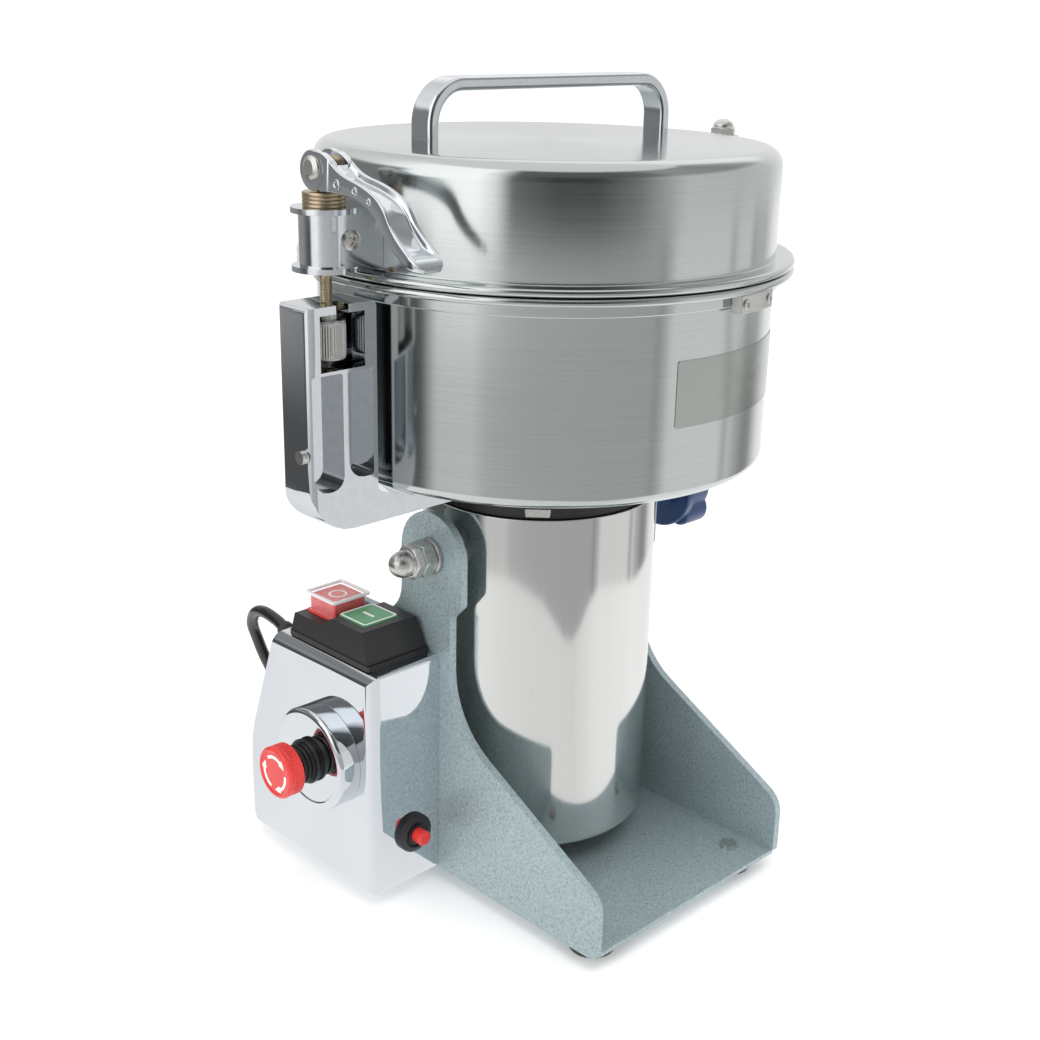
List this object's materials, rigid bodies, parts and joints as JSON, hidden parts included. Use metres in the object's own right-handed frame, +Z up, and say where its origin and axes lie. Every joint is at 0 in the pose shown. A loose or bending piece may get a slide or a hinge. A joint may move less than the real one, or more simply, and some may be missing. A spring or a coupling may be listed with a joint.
{
  "type": "electric spice grinder",
  "caption": "Tipping grain and spice mill: motor with a lidded steel bowl and blades, cam lever lid clamp, hung between the walls of a sheet base with a switch box.",
  "frame": {"origin": "on the ground, straight below the axis of the motor and the bowl", "axes": "+Z up along the motor's axis, +X along the tilt axis away from the switch box, -Y towards the side to which the bowl tips and pours"},
  "size_m": [0.336, 0.3801, 0.439],
  "materials": {
    "hammertone": "silver grey hammertone paint, speckled",
    "black_rubber": "matt",
    "zinc": "bright zinc",
    "polished_steel": "mirror polished stainless steel",
    "brushed_steel": "satin, brushed round the axis",
    "chrome": "polished chrome plate",
    "black_plastic": "matt black",
    "black_paint": "satin black paint",
    "cord_jacket": "glossy black jacket",
    "green_plastic": "green with white marks",
    "red_plastic": "red with white marks",
    "clear_plastic": "clear cap",
    "blue_plastic": "dark blue",
    "lamination": "laminated core",
    "copper": "enamelled copper",
    "brass": "yellowish plated steel",
    "blade_steel": "ground stainless steel",
    "silicone": "translucent white"
  },
  "bodies": {
    "base": {"base_frame": "hammertone", "rubber_feet": "black_rubber", "frame_screws": "zinc", "control_box": "polished_steel", "switch_housing": "black_plastic", "contact_blocks": "black_plastic", "estop_collar": "chrome", "estop_neck": "black_plastic", "breaker": "black_plastic", "cord_gland": "black_rubber", "mains_cord": "cord_jacket", "cord_coil": "cord_jacket", "cord_tie": "black_plastic", "mains_plug": "cord_jacket"},
    "start_button": {"start_button": "green_plastic"},
    "stop_button": {"stop_button": "red_plastic", "stop_cap": "clear_plastic"},
    "estop_stem": {"estop_stem": "black_plastic"},
    "estop_head": {"estop_head": "red_plastic"},
    "reset_button": {"reset_button": "red_plastic"},
    "head": {"motor_housing": "polished_steel", "motor_base": "black_paint", "motor_flange": "black_paint", "trunnions": "zinc", "pivot_washers": "zinc", "pivot_nuts": "zinc", "bowl": "brushed_steel", "rim_block": "brushed_steel", "clamp_arm": "chrome", "hinge_arm": "chrome", "arm_screws": "zinc", "hinge_post": "zinc", "hinge_spring": "zinc", "hinge_cap": "zinc", "field_core": "lamination", "field_coils": "copper", "brush_holders": "brass", "bearings": "zinc", "shaft_seal": "black_rubber"},
    "rotor": {"motor_shaft": "zinc", "armature": "lamination", "commutator": "copper", "cooling_fan": "black_plastic", "lower_blade": "blade_steel", "upper_blade": "blade_steel", "blade_spacers": "blade_steel", "blade_nut": "blade_steel"},
    "lid": {"lid": "brushed_steel", "lid_gasket": "silicone", "handle": "chrome", "clamp_lug": "chrome", "hinge_lug": "chrome", "lug_screws": "zinc", "lug_washers": "brass"},
    "pull_rod": {"pull_rod": "brass", "lever_pin": "zinc"},
    "clamp_nut": {"clamp_nut": "zinc"},
    "cam_lever": {"cam_lever": "chrome"},
    "tilt_knob": {"tilt_knob": "blue_plastic"}
  },
  "joints": [
    {"name": "head_tilt", "type": "hinge", "parent": "base", "child": "head", "pos_m": [0, 0.003, 0.196], "axis": [1, 0, 0], "range_deg": [0, 95]},
    {"name": "rotor_spin", "type": "hinge", "parent": "head", "child": "rotor", "pos_m": [0, 0, 0.2], "axis": [0, 0, 1], "continuous": true},
    {"name": "knob_turn", "type": "hinge", "parent": "head", "child": "tilt_knob", "pos_m": [0.09, 0.003, 0.196], "axis": [1, 0, 0], "range_deg": [0, 180]},
    {"name": "lid_swing", "type": "hinge", "parent": "head", "child": "lid", "pos_m": [0.1445, 0, 0.37], "axis": [0, 0, 1], "range_deg": [0, 110]},
    {"name": "rod_slide", "type": "slide", "parent": "lid", "child": "pull_rod", "axis": [0, 0, 1], "range_m": [-0.0012, 0]},
    {"name": "cam_lever_turn", "type": "hinge", "parent": "pull_rod", "child": "cam_lever", "pos_m": [-0.1445, 0, 0.401], "axis": [-1, 0, 0], "range_deg": [0, 110]},
    {"name": "nut_turn", "type": "hinge", "parent": "pull_rod", "child": "clamp_nut", "pos_m": [-0.1445, 0, 0.32], "axis": [0, 0, 1], "continuous": true},
    {"name": "start_press", "type": "slide", "parent": "base", "child": "start_button", "axis": [0, 0, -1], "range_m": [0, 0.0025], "stiffness_N_per_m": 600},
    {"name": "stop_press", "type": "slide", "parent": "base", "child": "stop_button", "axis": [0, 0, -1], "range_m": [0, 0.0025], "stiffness_N_per_m": 600},
    {"name": "estop_press", "type": "slide", "parent": "base", "child": "estop_stem", "axis": [1, 0, 0], "range_m": [0, 0.004]},
    {"name": "estop_twist", "type": "hinge", "parent": "estop_stem", "child": "estop_head", "pos_m": [-0.158, 0.0345, 0.084], "axis": [-1, 0, 0], "range_deg": [0, 45], "stiffness_Nm_per_rad": 0.05},
    {"name": "reset_press", "type": "slide", "parent": "base", "child": "reset_button", "axis": [0, 1, 0], "range_m": [0, 0.003], "stiffness_N_per_m": 300}
  ],
  "couplings": [
    {"joint": "rod_slide", "follows": "cam_lever_turn", "m_per_rad": -0.000625}
  ]
}
